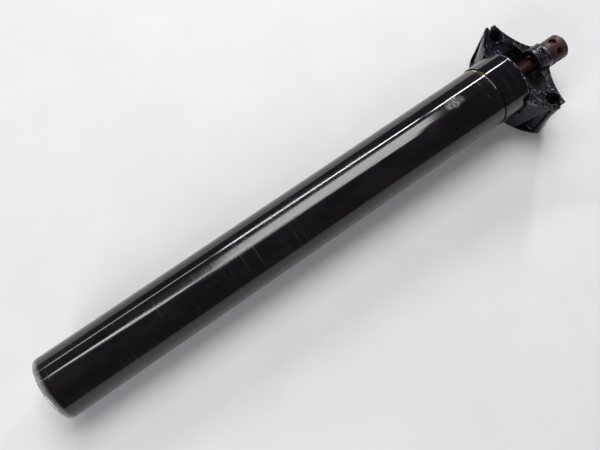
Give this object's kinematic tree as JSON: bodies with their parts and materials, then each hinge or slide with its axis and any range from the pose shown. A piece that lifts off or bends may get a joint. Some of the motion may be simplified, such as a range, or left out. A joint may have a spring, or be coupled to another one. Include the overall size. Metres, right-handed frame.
{
  "type": "suspension seatpost",
  "caption": "Telescopic sprung bicycle seatpost with a tilting two-piece saddle rail clamp, closed by a round nut with pin holes; it carries the saddle and slides in the frame's seat tube.",
  "frame": {"origin": "on the post's axis in the plane of the outer tube's foot", "axes": "+Z along the post towards the saddle, +X towards the bicycle's front, +Y to its left"},
  "size_m": [0.0387, 0.0568, 0.3023],
  "materials": {
    "outer_tube": "gloss black with fine hoop scratches",
    "guide_bushing": "turned bronze",
    "wiper_seal": "moulded",
    "guide_keys": "drawn",
    "top_out_bumper": "moulded",
    "inner_shaft": "gloss black head on a ground shaft",
    "piston_collar": "machined acetal",
    "piston_clip": "spring steel",
    "upper_spring_seat": "moulded",
    "bump_stop": "cellular elastomer",
    "coil_spring": "wound spring wire",
    "lower_spring_seat": "moulded",
    "preload_plug": "turned",
    "plug_o_ring": "moulded",
    "clamp_bolt": "brown plated thread",
    "bolt_washer": "stamped",
    "lower_clamp": "black anodised, satin gloss",
    "upper_clamp": "black anodised, satin gloss",
    "rocker_washer": "blackened",
    "capstan_nut": "brown anodised"
  },
  "bodies": {
    "outer_post": {"outer_tube": "outer_tube", "guide_bushing": "guide_bushing", "wiper_seal": "wiper_seal", "guide_keys": "guide_keys", "top_out_bumper": "top_out_bumper"},
    "shaft": {"inner_shaft": "inner_shaft", "piston_collar": "piston_collar", "piston_clip": "piston_clip", "upper_spring_seat": "upper_spring_seat", "bump_stop": "bump_stop", "clamp_bolt": "clamp_bolt", "bolt_washer": "bolt_washer"},
    "preload_seat": {"lower_spring_seat": "lower_spring_seat", "coil_spring": "coil_spring"},
    "preload_plug": {"preload_plug": "preload_plug", "plug_o_ring": "plug_o_ring"},
    "cradle": {"lower_clamp": "lower_clamp"},
    "rocker": {"rocker_washer": "rocker_washer"},
    "bridge": {"upper_clamp": "upper_clamp"},
    "nut": {"capstan_nut": "capstan_nut"}
  },
  "joints": [
    {"name": "shaft_travel", "type": "slide", "parent": "outer_post", "child": "shaft", "axis": [0, 0, 1], "range_m": [0, 0.038], "deforming": ["coil_spring"]},
    {"name": "preload_travel", "type": "slide", "parent": "outer_post", "child": "preload_seat", "axis": [0, 0, 1], "range_m": [0, 0.0051], "deforming": ["coil_spring"]},
    {"name": "preload_turn", "type": "hinge", "parent": "preload_seat", "child": "preload_plug", "pos_m": [0, 0, 0], "axis": [0, 0, 1], "range_deg": [0, 1840]},
    {"name": "cradle_tilt", "type": "hinge", "parent": "shaft", "child": "cradle", "pos_m": [0, 0, 0.2754], "axis": [0, 1, 0], "range_deg": [-12, 12]},
    {"name": "clamp_lift", "type": "slide", "parent": "shaft", "child": "rocker", "axis": [0, 0, 1], "range_m": [0, 0.0038]},
    {"name": "bridge_tilt", "type": "hinge", "parent": "rocker", "child": "bridge", "pos_m": [0, 0, 0.2754], "axis": [0, 1, 0], "range_deg": [-12.05, 12.05]},
    {"name": "nut_turn", "type": "hinge", "parent": "rocker", "child": "nut", "pos_m": [0, 0, 0.2917], "axis": [0, 0, 1], "range_deg": [0, 1095]}
  ],
  "couplings": [
    {"joint": "preload_turn", "follows": "preload_travel", "rad_per_m": 6283.2},
    {"joint": "nut_turn", "follows": "clamp_lift", "rad_per_m": 5026.5},
    {"joint": "bridge_tilt", "follows": "cradle_tilt", "ratio": 1}
  ]
}
